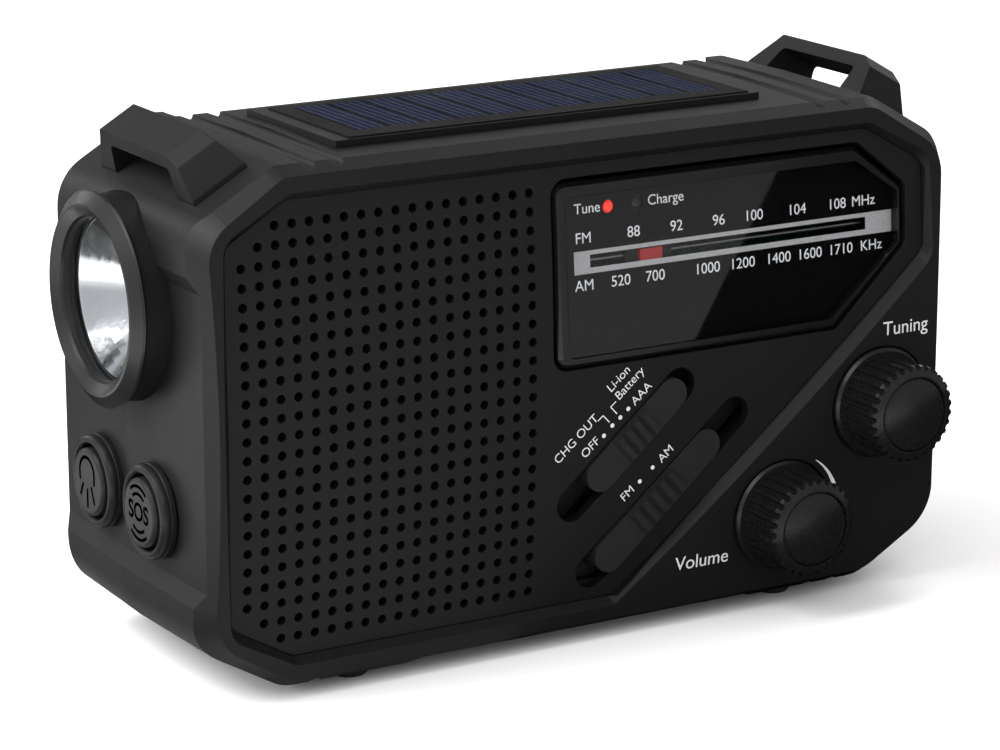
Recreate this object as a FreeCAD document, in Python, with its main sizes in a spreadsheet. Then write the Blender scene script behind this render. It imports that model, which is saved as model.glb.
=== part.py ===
import FreeCAD, Part
import math
import os
import re

# Emergency radio: hand crank, solar panel, torch, AM/FM tuner.
# Frame: X to the right as the user faces the dial, Y into the set, Z up. The origin lies on
# the ground, under the middle of the width, in the plane where the two case halves meet.

V = FreeCAD.Vector
doc = FreeCAD.newDocument("emergency_radio")

DIMS = {
    # case
    "half_width": 80.5, "side_inset": 1.5, "top_z": 97.0, "base_z": 1.4, "corner_x": 63.0,
    "corner_slope": 30.0, "front_y": -33.6, "rear_y": 30.0, "face_radius": 425.0,
    "mid_z": 49.2, "wall": 2.4, "draft_drop": 0.7, "cavity_front": -25.5, "cavity_rear": 25.0,
    "bevel_slope": 0.645, "bevel_inset": 3.8, "groove_radius": 1.3, "groove_in": 50.9,
    "groove_out": 56.5, "ground_gap": 1.4,
    # sunken front panel
    "panel_inset": 6.4, "panel_depth": 2.0, "panel_thick": 2.2, "panel_gap": 0.1,
    "panel_ledge": 3.0, "wall_run": 1.4, "diagonal_angle": 40.6, "diagonal_x": 6.1,
    # grille
    "hole_pitch": 3.4, "hole_radius": 0.85, "grille_x": -41.65, "grille_z": 49.0,
    # dial
    "dial_tilt": 4.0, "dial_y": -31.2, "dial_base": 55.0, "lens_thick": 1.6,
    "bezel_proud": 0.5, "bezel_depth": 4.4, "plate_thick": 0.8, "pointer_x": 14.45,
    "window_low": 1.15, "window_high": 62.75, "window_z": 71.9, "window_tall": 2.4,
    # sliders
    "slot_width": 6.8, "slider_width": 6.3, "power_slot_x": 7.5, "power_slot_z": 37.0,
    "power_slot_run": 30.0, "power_x": 9.5, "power_z": 38.7, "power_run": 20.2,
    "band_slot_x": 16.0, "band_slot_z": 26.4, "band_slot_run": 40.0, "band_x": 14.55,
    "band_z": 25.15, "band_run": 27.8, "slider_angle": 40.8,
    # knobs
    "volume_x": 41.9, "volume_z": 18.4, "tuning_x": 63.6, "tuning_z": 37.8,
    "knob_radius": 9.45, "knob_waist": 9.1, "knob_flange": 10.6, "knob_tall": 11.3, "knob_shaft": 3.0,
    "shaft_gap": 0.05, "knob_well": 11.05, "drum_radius": 9.0,
    # torch and buttons
    "torch_y": -1.0, "torch_z": 69.7, "torch_radius": 18.6, "torch_rim": 19.6,
    "button_z": 32.9, "sos_y": -11.9, "lamp_button_y": 9.9, "button_radius": 6.3,
    "collar_radius": 8.7, "collar_bore": 7.0, "collar_tall": 2.8, "button_travel": 1.0,
    # solar panel
    "tray_x": -2.2, "tray_wide": 89.6, "tray_front": -21.3, "tray_rear": 13.1,
    "tray_top": 97.9, "cell_x": -1.6, "glass_wide": 84.6, "glass_front": -20.5,
    "glass_rear": 10.6, "glass_top": 98.2,
    # strap loops
    "loop_x": 70.2, "loop_foot_wide": 11.8, "loop_bend_wide": 8.5, "loop_top_wide": 7.3,
    "loop_front": -22.7, "loop_rear": 15.6, "loop_tall": 7.8, "loop_bar": 2.7,
    # crank and generator
    "crank_x": 30.0, "crank_z": 49.0, "dish_radius": 36.0, "dish_floor": 16.5,
    "dish_wall": 2.4, "arm_length": 27.0, "arm_thick": 3.4, "arm_wide": 12.0,
    "grip_radius": 4.5, "grip_length": 19.0, "gear_module": 0.8, "drive_teeth": 48,
    "pinion_teeth": 12, "gear_y": 7.5, "gear_wide": 4.0,
    # aerial
    "aerial_y": 24.2, "aerial_z": 90.5, "aerial_x": -50.0, "aerial_radius": 3.4,
    "aerial_length": 92.0, "well_y": 19.0, "well_z": 86.5, "aerial_travel": 78.0,
    # power
    "cell_radius": 9.2, "cell_length": 65.0, "small_cell_radius": 5.2,
    "small_cell_length": 44.5, "door_left": -72.0, "door_right": -14.0,
    "door_low": 13.0, "door_high": 78.0, "door_thick": 2.0,
    "cell_y": 4.0, "cell_z": 22.0, "cell_left": -64.0, "small_cell_left": -66.0,
    # port flap
    "flap_face": 80.5, "flap_thick": 1.2, "flap_front": 1.2, "flap_rear": 12.8,
    "flap_low": 27.0, "flap_high": 61.0,
    # electronics
    "board_y": -14.0, "board_thick": 1.6, "speaker_radius": 29.2, "speaker_y": -26.8,
}

sheet = doc.addObject("Spreadsheet::Sheet", "dims")
for row, (alias, number) in enumerate(DIMS.items(), start=1):
    sheet.set("A%d" % row, alias.replace("_", " "))
    sheet.set("B%d" % row, str(number))
    sheet.setAlias("B%d" % row, alias)
doc.recompute()


class Size:
    """The sheet's numbers by name."""

    def __getattr__(self, alias):
        return float(sheet.get(alias))


size = Size()
nodes = {}


# ---------------------------------------------------------------- helpers

def bind(thing, prop, text):
    """Drive a property from an expression written in the sheet's aliases."""
    words = re.sub(r"[a-z][a-z_]*", lambda m: "dims." + m.group() if m.group() in DIMS else m.group(),
                   str(text))
    thing.setExpression(prop, words)


def block(name, x_span, y_span, z_span):
    """Box between three (low, high) pairs of expressions."""
    box = doc.addObject("Part::Box", name)
    for side, axis, (low, high) in zip(("Length", "Width", "Height"), "xyz",
                                       (x_span, y_span, z_span)):
        bind(box, side, "(%s) - (%s)" % (high, low))
        bind(box, "Placement.Base." + axis, low)
    return box


def rod(name, radius, height, start, direction):
    """Cylinder from a start point along a direction; radius and height are expressions."""
    thing = doc.addObject("Part::Cylinder", name)
    bind(thing, "Radius", radius)
    bind(thing, "Height", height)
    thing.Placement = FreeCAD.Placement(V(*start), FreeCAD.Rotation(V(0, 0, 1), V(*direction)))
    return thing


def fuse(name, shapes):
    whole = doc.addObject("Part::MultiFuse", name)
    whole.Shapes = shapes
    return whole


def common(name, shapes):
    whole = doc.addObject("Part::MultiCommon", name)
    whole.Shapes = shapes
    return whole


def cut(name, base, tools):
    """Base less the tools; several tools are fused first."""
    whole = doc.addObject("Part::Cut", name)
    whole.Base = base
    whole.Tool = tools[0] if len(tools) == 1 else fuse(name + "_tools", tools)
    return whole


def finish(label, thing):
    thing.Label = label
    nodes[label] = thing
    return thing


def group(label, pieces):
    """One node for identical pieces that stay apart from each other."""
    for piece in pieces:
        nodes.pop(piece.Label, None)
    return finish(label, fuse(label, pieces))


def offset_polygon(points, distances):
    """Move each side of a counter-clockwise polygon outwards by its own distance."""
    count = len(points)
    if not isinstance(distances, (list, tuple)):
        distances = [distances] * count
    lines = []
    for i in range(count):
        (ax, az), (bx, bz) = points[i], points[(i + 1) % count]
        run = math.hypot(bx - ax, bz - az)
        ux, uz = (bx - ax) / run, (bz - az) / run
        lines.append((ax + uz * distances[i], az - ux * distances[i], ux, uz))
    corners = []
    for i in range(count):
        px, pz, ux, uz = lines[i - 1]
        qx, qz, vx, vz = lines[i]
        reach = ((qx - px) * vz - (qz - pz) * vx) / (ux * vz - uz * vx)
        corners.append((px + ux * reach, pz + uz * reach))
    return corners


def rounded(points, radii):
    """Edges of a closed polygon, each corner rounded by its own radius (0 keeps it sharp)."""
    count = len(points)
    if not isinstance(radii, (list, tuple)):
        radii = [radii] * count
    starts, ends, arcs = [], [], []
    for i in range(count):
        here = V(points[i][0], points[i][1], 0)
        back = (V(points[i - 1][0], points[i - 1][1], 0) - here).normalize()
        ahead_point = points[(i + 1) % count]
        ahead = (V(ahead_point[0], ahead_point[1], 0) - here).normalize()
        half = back.getAngle(ahead) / 2
        if radii[i] <= 0:
            starts.append(here)
            ends.append(here)
            arcs.append(None)
            continue
        trim = radii[i] / math.tan(half)
        inward = (back + ahead).normalize()
        middle = here + inward * (radii[i] / math.sin(half) - radii[i])
        starts.append(here + back * trim)
        ends.append(here + ahead * trim)
        arcs.append(middle)
    edges = []
    for i in range(count):
        if arcs[i] is not None:
            edges.append(Part.Arc(starts[i], arcs[i], ends[i]))
        edges.append(Part.LineSegment(ends[i], starts[(i + 1) % count]))
    return edges


def circle(x, z, radius):
    return Part.Circle(V(x, z, 0), V(0, 0, 1), radius)


def stadium(x, z, run, width, angle):
    """Edges of a slot with round ends: centre, distance between end centres, width, angle."""
    ux, uz = math.cos(math.radians(angle)), math.sin(math.radians(angle))
    half, reach = width / 2, run / 2
    low, high = V(x - ux * reach, z - uz * reach, 0), V(x + ux * reach, z + uz * reach, 0)
    along, across = V(ux, uz, 0), V(-uz, ux, 0)
    return [Part.LineSegment(low - across * half, high - across * half),
            Part.Arc(high - across * half, high + along * half, high + across * half),
            Part.LineSegment(high + across * half, low + across * half),
            Part.Arc(low + across * half, low - along * half, low - across * half)]


def rectangle(x_low, x_high, z_low, z_high, radius=0.0):
    return rounded([(x_low, z_low), (x_high, z_low), (x_high, z_high), (x_low, z_high)], radius)


def facing(y):
    """Placement of an upright plane at depth y, drawn in X and Z, whose normal is -Y."""
    return FreeCAD.Placement(V(0, y, 0), FreeCAD.Rotation(V(1, 0, 0), 90))


def upright_sketch(name, edges, y):
    drawing = doc.addObject("Sketcher::SketchObject", name)
    drawing.addGeometry(edges, False)
    drawing.Placement = facing(y)
    return drawing


def slab(name, edges, y_front, y_back):
    """Straight solid between two depths from an outline drawn in X and Z."""
    solid = doc.addObject("Part::Extrusion", name)
    solid.Base = upright_sketch(name + "_outline", edges, y_back)
    solid.DirMode = "Custom"
    solid.Dir = V(0, -1, 0)
    solid.LengthFwd = y_back - y_front
    solid.Solid = True
    return solid


def tapered(name, edges_front, y_front, edges_back, y_back):
    """Straight-sided loft between an outline at the front and a matching one behind."""
    solid = doc.addObject("Part::Loft", name)
    solid.Sections = [upright_sketch(name + "_front", edges_front, y_front),
                      upright_sketch(name + "_back", edges_back, y_back)]
    solid.Solid = True
    solid.Ruled = True
    return solid


def new_body(label):
    body = doc.addObject("PartDesign::Body", label)
    return finish(label, body)


def body_sketch(body, role, shift, edges):
    """Sketch on one of the body's own origin planes, moved along its normal."""
    plane = next(f for f in body.Origin.OriginFeatures if f.Role == role)
    drawing = body.newObject("Sketcher::SketchObject", body.Name + "_sketch")
    drawing.AttachmentSupport = [(plane, "")]
    drawing.MapMode = "FlatFace"
    drawing.AttachmentOffset = FreeCAD.Placement(V(0, 0, shift), FreeCAD.Rotation())
    drawing.addGeometry(edges, False)
    return drawing


def pad(body, drawing, length, symmetric=False):
    feature = body.newObject("PartDesign::Pad", body.Name + "_pad")
    feature.Profile = drawing
    bind(feature, "Length", length)
    if symmetric:
        feature.SideType = "Symmetric"
    return feature


def pocket(body, drawing, length=None, reversed_side=False, symmetric=False):
    """Pocket to a depth, or through everything when no length is given."""
    feature = body.newObject("PartDesign::Pocket", body.Name + "_pocket")
    feature.Profile = drawing
    if length is None:
        feature.Type = "ThroughAll"
    else:
        bind(feature, "Length", length)
    if symmetric:
        feature.SideType = "Symmetric"
    feature.Reversed = reversed_side
    return feature


def turned(label, profile, start, direction):
    """Body of revolution: (radius, height) points turned about an axis from a start point."""
    body = new_body(label)
    drawing = body_sketch(body, "XZ_Plane", 0, rounded(profile, 0))
    turn = body.newObject("PartDesign::Revolution", label + "_turn")
    turn.Profile = drawing
    turn.ReferenceAxis = (drawing, ["V_Axis"])
    turn.Angle = 360
    body.Placement = FreeCAD.Placement(V(*start), FreeCAD.Rotation(V(0, 0, 1), V(*direction)))
    return body


def dial_frame():
    """Placement of the dial group: it leans back, so its top lies deeper than its foot."""
    return FreeCAD.Placement(V(0, size.dial_y, size.dial_base),
                             FreeCAD.Rotation(V(1, 0, 0), -size.dial_tilt))


def face_depth(z, base_y):
    """Depth of the crowned front at height z, for a face whose middle lies at base_y."""
    return base_y + (z - size.mid_z) ** 2 / (2 * size.face_radius)


# ---------------------------------------------------------------- outlines

def case_outline():
    """Octagon of the case seen from the front, counter-clockwise from the lower left."""
    drop = (size.half_width - size.corner_x) * math.tan(math.radians(size.corner_slope))
    low, high = size.base_z + drop, size.top_z - drop
    return [(-size.corner_x, size.base_z), (size.corner_x, size.base_z),
            (size.half_width, low), (size.half_width, high),
            (size.corner_x, size.top_z), (-size.corner_x, size.top_z),
            (-size.half_width, high), (-size.half_width, low)]


CORNER_RADII = [7.0, 7.0, 9.0, 7.0, 4.0, 4.0, 7.0, 9.0]
INSET_LOW, INSET_HIGH, INSET_RAMP = 22.3, 75.9, 2.9


def stepped_outline(grow):
    """Case outline whose left side steps in between two ramps."""
    corners = offset_polygon(case_outline(), grow)
    side = -size.half_width - grow
    inner = side + size.side_inset
    step = [(side, INSET_HIGH + INSET_RAMP), (inner, INSET_HIGH),
            (inner, INSET_LOW), (side, INSET_LOW - INSET_RAMP)]
    return rounded(corners[:7] + step + corners[7:], CORNER_RADII[:7] + [0] * 4 + CORNER_RADII[7:])


def panel_outline(grow):
    """Sunken panel: the inset octagon with its lower right corner cut on the diagonal."""
    inner = offset_polygon(case_outline(), -size.panel_inset)
    base, side = inner[0][1], inner[3][0]
    cut_z = base + (side - size.diagonal_x) * math.tan(math.radians(size.diagonal_angle))
    points = [inner[0], (size.diagonal_x, base), (side, cut_z)] + inner[3:]
    return offset_polygon(points, grow)


PANEL_RADII = [4.0, 1.5, 3.0, 4.0, 4.0, 4.0, 4.0, 4.0]


# ---------------------------------------------------------------- case halves

def case_half(side_name, face_y):
    """Outer form of one half: drafted outline, bevelled rim, crowned face."""
    way = 1 if face_y > 0 else -1
    deep = 40.0
    if way < 0:
        drafted = tapered(side_name + "_drafted", stepped_outline(-size.draft_drop), -deep,
                          stepped_outline(0), 0)
    else:
        drafted = tapered(side_name + "_drafted", stepped_outline(0), 0,
                          stepped_outline(-size.draft_drop), deep)
    far, near = 3.4, 18.0
    small = -size.bevel_inset - far * size.bevel_slope
    large = -size.bevel_inset + near * size.bevel_slope
    outline = case_outline()
    narrow = rounded(offset_polygon(outline, small), [r - 2.0 for r in CORNER_RADII])
    wide = rounded(offset_polygon(outline, large),
                   [r - 2.0 + large - small for r in CORNER_RADII])
    if way < 0:
        bevelled = tapered(side_name + "_bevelled", narrow, face_y - far, wide, face_y + near)
        inner_plane = block(side_name + "_inner", ("-100", "100"), ("front_y + 17", "0"),
                            ("-20", "120"))
    else:
        bevelled = tapered(side_name + "_bevelled", wide, face_y - near, narrow, face_y + far)
        inner_plane = block(side_name + "_inner", ("-100", "100"), ("0", "rear_y - 17"),
                            ("-20", "120"))
    grown = fuse(side_name + "_grown", [bevelled, inner_plane])
    crown = rod(side_name + "_crown", "face_radius", "300",
                (-150, face_y - way * size.face_radius, size.mid_z), (1, 0, 0))
    return common(side_name + "_form", [drafted, grown, crown])


def cavity(name, y_low, y_high):
    inner = offset_polygon(case_outline(), [-size.wall, -size.wall, -size.wall - size.side_inset,
                                            -size.wall, -size.wall, -size.wall,
                                            -size.wall - size.side_inset, -size.wall])
    return slab(name, rounded(inner, 5.0), y_low, y_high)


def end_grooves(name):
    """Pairs of round-bottomed grooves that run front to back near each end, top and bottom."""
    cutters = []
    for side in (-1, 1):
        for alias in ("groove_in", "groove_out"):
            x = side * getattr(size, alias)
            for level, z in (("top", size.top_z - 0.3), ("base", size.base_z - 0.1)):
                tag = "%s_%s_%s_%s" % (name, alias, level, "left" if side < 0 else "right")
                cutters.append(rod(tag, "groove_radius", "80", (x, -40, z), (0, 1, 0)))
    return cutters


def base_relief(name):
    """Shallow arch under the middle of the case, so that it stands on its two end pads."""
    outline = [(-40, -5), (40, -5), (40, 0.9), (35, 2.9), (-35, 2.9), (-40, 0.9)]
    return slab(name, rounded(outline, 0), -45, 45)


SCREWS = [(-70.0, 13.5), (70.0, 13.5), (72.0, 79.0), (-34.0, 82.2)]


def torch_hole(name):
    return rod(name, "torch_radius + panel_gap", "40",
               (-100, size.torch_y, size.torch_z), (1, 0, 0))


def front_shell():
    form = case_half("front", size.front_y)
    hollow = cavity("front_cavity", size.cavity_front, 0.0)
    posts = [rod("front_post_%d" % i, "3.5", "30", (x, -28, z), (0, 1, 0))
             for i, (x, z) in enumerate(SCREWS)]
    posts.append(block("front_post_rib", ("-35", "-33"), ("-24", "-17"),
                       ("84", "top_z - wall + 0.5")))
    floor_y = size.front_y + size.panel_depth
    seat = slab("panel_seat", rounded(panel_outline(size.panel_gap), PANEL_RADII),
                size.front_y - 5, size.cavity_front + 2)
    seat_back = rod("panel_seat_back", "face_radius - panel_depth - panel_thick - panel_gap", "300",
                    (-150, size.front_y + size.face_radius, size.mid_z), (1, 0, 0))
    recess = cut("panel_recess", seat, [seat_back])
    reach, sunk = 5.0, 1.9
    slope = size.wall_run / size.panel_depth
    lift = [1.4, 0.5, 0.0, 1.2, 1.4, 1.2, 0.0, 1.2]
    foot = rounded(panel_outline([size.panel_gap + rise - sunk * slope for rise in lift]),
                   [r - sunk * slope for r in PANEL_RADII])
    mouth = rounded(panel_outline([size.panel_gap + rise + reach * slope for rise in lift]),
                    [r + reach * slope for r in PANEL_RADII])
    splay = tapered("panel_splay", mouth, floor_y - reach, foot, floor_y + sunk)
    window = slab("panel_window", rounded(panel_outline(-size.panel_ledge), PANEL_RADII),
                  size.front_y - 5, size.cavity_front + 1)
    bores = []
    for label in ("volume", "tuning"):
        x, z = getattr(size, label + "_x"), getattr(size, label + "_z")
        surface = face_depth(z, size.front_y)
        bores.append(rod(label + "_bore", "knob_shaft + shaft_gap", "30", (x, -50, z), (0, 1, 0)))
        bores.append(rod(label + "_well", "knob_well", "20", (x, surface + 0.8 - 20, z),
                         (0, 1, 0)))
    pilots = [rod("pilot_%d" % i, "1.25", "16", (x, -16, z), (0, 1, 0))
              for i, (x, z) in enumerate(SCREWS)]
    sos = rod("sos_bore", "3.1", "20", (-90, size.sos_y, size.button_z), (1, 0, 0))
    feet = [rod("front_foot_%d" % side, "3.6", "3", (side * 46.5, -23, -0.8), (0, 0, 1))
            for side in (-1, 1)]
    room = cut("front_room", hollow, posts)
    tools = ([room, recess, splay, window, torch_hole("front_torch_hole"), sos,
              base_relief("front_relief")] + bores + pilots + feet + end_grooves("front"))
    finish("front_shell", cut("front_shell", form, tools))
    return form


def rear_shell():
    form = case_half("rear", size.rear_y)
    hollow = cavity("rear_cavity", 0.0, size.cavity_rear)
    axis = (size.crank_x, size.dish_floor - size.dish_wall, size.crank_z)
    cup = rod("dish_cup", "dish_radius + dish_wall", "40", axis, (0, 1, 0))
    well_lining = block("well_lining", ("-61", "90"), ("well_y - wall", "40"),
                        ("well_z - wall", "110"))
    posts = [rod("rear_post_%d" % i, "3.5", "40", (x, -2, z), (0, 1, 0))
             for i, (x, z) in enumerate(SCREWS)]
    room = cut("rear_room", hollow, [cup, well_lining] + posts)
    dish = rod("dish", "dish_radius", "40", (size.crank_x, size.dish_floor, size.crank_z),
               (0, 1, 0))
    bore = rod("crank_bore", "3 + shaft_gap", "40", (size.crank_x, 0, size.crank_z), (0, 1, 0))
    well = block("aerial_well", ("-58.6", "58.6"), ("well_y", "60"), ("well_z", "110"))
    channel = block("tip_channel", ("58", "90"), ("aerial_y - aerial_radius - 0.3",
                    "aerial_y + aerial_radius + 0.3"), ("well_z + 0.3", "110"))
    door = slab("door_seat", rectangle(size.door_left, size.door_right, size.door_low,
                                       size.door_high, 3.0), 27.2 - size.door_thick, 50)
    bay = slab("door_bay", rectangle(size.door_left + 2, size.door_right - 2, size.door_low + 2,
                                     size.door_high - 2, 2.0), 20, 40)
    clearance = [rod("screw_way_%d" % i, "1.7", "60", (x, -1, z), (0, 1, 0))
                 for i, (x, z) in enumerate(SCREWS)]
    heads = [rod("screw_seat_%d" % i, "3.1", "40", (x, 12, z), (0, 1, 0))
             for i, (x, z) in enumerate(SCREWS)]
    lamp = rod("lamp_bore", "3.1", "20", (-90, size.lamp_button_y, size.button_z), (1, 0, 0))
    ports = [block("usb_a_way", ("70", "90"), ("2.8", "9.2"), ("44", "58")),
             block("usb_c_way", ("70", "90"), ("4.1", "7.9"), ("30", "39.6")),
             block("flap_seat", ("flap_face - flap_thick", "90"), ("flap_front - 0.15",
                   "flap_rear + 0.15"), ("flap_low - 0.15", "flap_high + 0.15")),
             rod("flap_hinge_seat", "1.2", "flap_high - flap_low + 0.3",
                 (size.flap_face - 1.1, size.flap_rear - 1.0, size.flap_low - 0.15), (0, 0, 1))]
    pivot = rod("aerial_socket", "2.5 + shaft_gap", "6",
                (size.aerial_x, size.aerial_y, size.well_z - 5), (0, 0, 1))
    feet = [rod("rear_foot_%d" % side, "3.6", "3", (side * 46.5, 20, -0.8), (0, 0, 1))
            for side in (-1, 1)]
    tools = ([room, dish, bore, well, channel, door, bay, lamp, pivot, torch_hole("rear_torch_hole"),
              base_relief("rear_relief")] + clearance + heads + ports + feet
             + end_grooves("rear"))
    finish("rear_shell", cut("rear_shell", form, tools))
    return form


# ---------------------------------------------------------------- front panel and grille

GRILLE_COLUMNS, GRILLE_ROWS = 18, 23


def grille_circles():
    """Square grid of holes; the two left corners are stepped to follow the case."""
    circles = []
    for row in range(GRILLE_ROWS):
        edge = min(row, GRILLE_ROWS - 1 - row)
        skipped = max(0, 2 - edge)
        z = size.grille_z + (row - (GRILLE_ROWS - 1) / 2) * size.hole_pitch
        for column in range(skipped, GRILLE_COLUMNS):
            x = size.grille_x + (column - (GRILLE_COLUMNS - 1) / 2) * size.hole_pitch
            circles.append(circle(x, z, size.hole_radius))
    return circles


def dial_opening():
    return [(-8.4, 52.8), (54.1, 52.8), (70.4, 67.6), (70.4, 79.2), (59.4, 88.2), (-8.4, 88.2)]


def front_panel():
    """Crowned plate with the grille, the two slider slots and the dial opening."""
    front, back = size.front_y - 3, size.front_y + 10
    centre = (-150, size.front_y + size.face_radius, size.mid_z)
    blank = slab("panel_blank", rounded(panel_outline(0), PANEL_RADII), front, back)
    crown = rod("panel_crown", "face_radius - panel_depth", "300", centre, (1, 0, 0))
    hollow = rod("panel_hollow", "face_radius - panel_depth - panel_thick", "300", centre,
                 (1, 0, 0))
    grille = slab("grille_holes", grille_circles(), front, back)
    slots = [slab(label + "_slot", stadium(getattr(size, label + "_slot_x"),
                                           getattr(size, label + "_slot_z"),
                                           getattr(size, label + "_slot_run"),
                                           size.slot_width, size.slider_angle), front, back)
             for label in ("power", "band")]
    dial = slab("dial_way", rounded(dial_opening(), [3.0, 2.0, 3.0, 3.0, 2.5, 3.5]), front, back)
    plate = common("panel_plate", [blank, crown])
    finish("front_panel", cut("front_panel", plate, [hollow, grille, dial] + slots))


# ---------------------------------------------------------------- dial

def lens_outline(grow):
    """Dial lens, measured upwards from the lens's lower edge."""
    points = [(-4.9, 0.0), (53.2, 0.0), (68.9, 13.0), (68.9, 22.6), (59.3, 29.4), (-4.9, 29.4)]
    return offset_polygon(points, grow)


def bezel_outline(grow):
    points = [(-7.3, -1.9), (53.9, -1.9), (70.1, 12.6), (70.1, 23.8), (59.0, 32.3), (-7.3, 32.3)]
    return offset_polygon(points, grow)


def place_on_dial(thing):
    thing.Placement = dial_frame()
    return thing


LED_SPOTS = {"tune_led": 5.6, "charge_led": 11.6}
LED_Z = 26.6
BEZEL_RADII = [2.4, 1.6, 2.4, 2.4, 2.0, 2.4]


def dial_group():
    """Bezel, lens, scale plate, pointer and its rail, all on one leaning plane."""
    soft = 0.8
    lip = tapered("bezel_lip", rounded(bezel_outline(-soft), [r - soft for r in BEZEL_RADII]),
                  -size.bezel_proud, rounded(bezel_outline(0), BEZEL_RADII), 0.4)
    ring = slab("bezel_ring", rounded(bezel_outline(0), BEZEL_RADII), 0.4,
                size.bezel_depth - size.bezel_proud)
    inside = slab("bezel_inside", rounded(lens_outline(0.1), 0.9), -2, 8)
    bezel = cut("dial_bezel", fuse("bezel_blank", [lip, ring]), [inside])
    finish("dial_bezel", place_on_dial(bezel))
    lens = slab("dial_lens", rounded(lens_outline(0), 0.8), 0, size.lens_thick)
    finish("dial_lens", place_on_dial(lens))
    plate_y = size.lens_thick + 0.05
    window_z = size.window_z - size.dial_base
    half = size.window_tall / 2
    plate = slab("scale_blank", rounded(lens_outline(0), 0.8), plate_y,
                 plate_y + size.plate_thick)
    openings = [slab("scale_window", rectangle(size.window_low, size.window_high,
                                               window_z - half, window_z + half), 0, 6)]
    openings += [slab("scale_" + label, [circle(x, LED_Z, 1.35)], 0, 6)
                 for label, x in LED_SPOTS.items()]
    finish("dial_scale", place_on_dial(cut("dial_scale", plate, openings)))
    flag = slab("pointer_flag", rectangle(size.pointer_x - 2.4, size.pointer_x + 2.4,
                                          window_z - half + 0.12, window_z + half - 0.12),
                plate_y + 0.05, plate_y + size.plate_thick + 0.3)
    carriage = slab("pointer_carriage",
                    rectangle(size.pointer_x - 5, size.pointer_x + 5, window_z - 2.4,
                              window_z + 2.4, 0.5),
                    plate_y + size.plate_thick + 0.15, plate_y + size.plate_thick + 2.6)
    rail_y = plate_y + size.plate_thick + 1.4
    bore = rod("carriage_bore", "0.56", "40", (size.pointer_x - 20, rail_y, window_z), (1, 0, 0))
    pointer = cut("dial_pointer", fuse("pointer_blank", [flag, carriage]), [bore])
    finish("dial_pointer", place_on_dial(pointer))
    rail = rod("pointer_rail", "0.5", "73.6", (-4.8, 0, 0), (1, 0, 0))
    rail.Placement = dial_frame() * FreeCAD.Placement(
        V(-4.8, rail_y, window_z), FreeCAD.Rotation(V(0, 0, 1), V(1, 0, 0)))
    finish("pointer_rail", rail)
    lamps = []
    for label, x in LED_SPOTS.items():
        led = turned(label, [(0, -4.2), (1.5, -4.2), (1.5, -3.4), (1.2, -3.4), (1.2, -0.6),
                             (0.8, -0.15), (0, 0)], (0, 0, 0), (0, 0, 1))
        led.Placement = dial_frame() * FreeCAD.Placement(
            V(x, size.lens_thick + 0.06, LED_Z), FreeCAD.Rotation(V(0, 0, 1), V(0, -1, 0)))
        lamps.append(led)
    group("indicator_lamps", lamps)


# ---------------------------------------------------------------- sliders

def slanted(x, z, along, across, half_run, half_width):
    """Rectangle turned to the slider angle, shifted along and across from a centre."""
    ux = math.cos(math.radians(size.slider_angle))
    uz = math.sin(math.radians(size.slider_angle))
    points = []
    for a, b in ((-1, -1), (1, -1), (1, 1), (-1, 1)):
        run, side = along + a * half_run, across + b * half_width
        points.append((x + ux * run - uz * side, z + uz * run + ux * side))
    return rounded(points, 0)


def slider(label, teeth, pitch):
    """Thumb slider: round-ended head, stepped grip teeth and a foot plate behind the panel."""
    x, z, run = (getattr(size, label + suffix) for suffix in ("_x", "_z", "_run"))
    slot_run = getattr(size, label + "_slot_run")
    face = face_depth(z, size.front_y + size.panel_depth)
    foot_y = size.cavity_front + 0.3
    head = slab(label + "_head", stadium(x, z, run, size.slider_width, size.slider_angle),
                face - 0.5, foot_y)
    foot = slab(label + "_foot", stadium(x, z, slot_run + 9, size.slot_width + 1.4,
                                         size.slider_angle), foot_y, foot_y + 1.0)
    bars = []
    for i in range(teeth):
        along = (i - (teeth - 1) / 2) * pitch
        for step, half_run, half_width, rise in (("foot", 0.95, 2.85, 0.9), ("crest", 0.6, 2.6, 1.3)):
            bars.append(slab("%s_tooth_%s_%d" % (label, step, i),
                             slanted(x, z, along, 0, half_run, half_width),
                             face - rise, face - 0.3))
    finish(label + "_slider", fuse(label + "_slider", [head, foot] + bars))


# ---------------------------------------------------------------- knobs

def knob_profile(shaft_length):
    """Half section of a knob: shaft, base flange, waisted grip, sloping rim and domed cap."""
    tall, radius, waist = size.knob_tall, size.knob_radius, size.knob_waist
    points = [(0, -shaft_length), (size.knob_shaft, -shaft_length), (size.knob_shaft, -0.6),
              (size.knob_flange, -0.6), (size.knob_flange, 0.5), (size.knob_flange - 0.5, 1.0),
              (waist, 1.0), (radius - 0.15, tall - 2.2), (radius, tall - 1.6),
              (radius - 0.2, tall - 0.9), (7.5, tall), (7.2, tall), (7.1, tall - 0.6)]
    cap_radius, rise, facets = 6.9, 1.3, 10
    ball = (cap_radius ** 2 + rise ** 2) / (2 * rise)
    for i in range(facets + 1):
        across = cap_radius * (1 - i / facets)
        points.append((across, tall - 0.3 + rise - ball + math.sqrt(ball ** 2 - across ** 2)))
    return points


def knob(label, shaft_length, flutes=30):
    """Fluted knob turned about its shaft."""
    x, z = getattr(size, label + "_x"), getattr(size, label + "_z")
    surface = face_depth(z, size.front_y)
    tall, radius = size.knob_tall, size.knob_radius
    body = turned(label + "_knob", knob_profile(shaft_length), (x, surface, z), (0, -1, 0))
    notch = pocket(body, body_sketch(body, "XY_Plane", tall + 1,
                                     [circle(radius - 0.3, 0, 0.6)]), tall)
    ring = body.newObject("PartDesign::PolarPattern", label + "_flutes")
    ring.Originals = [notch]
    ring.Axis = (next(f for f in body.Origin.OriginFeatures if f.Role == "Z_Axis"), [""])
    ring.Angle = 360
    ring.Occurrences = flutes
    body.Tip = ring


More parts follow.
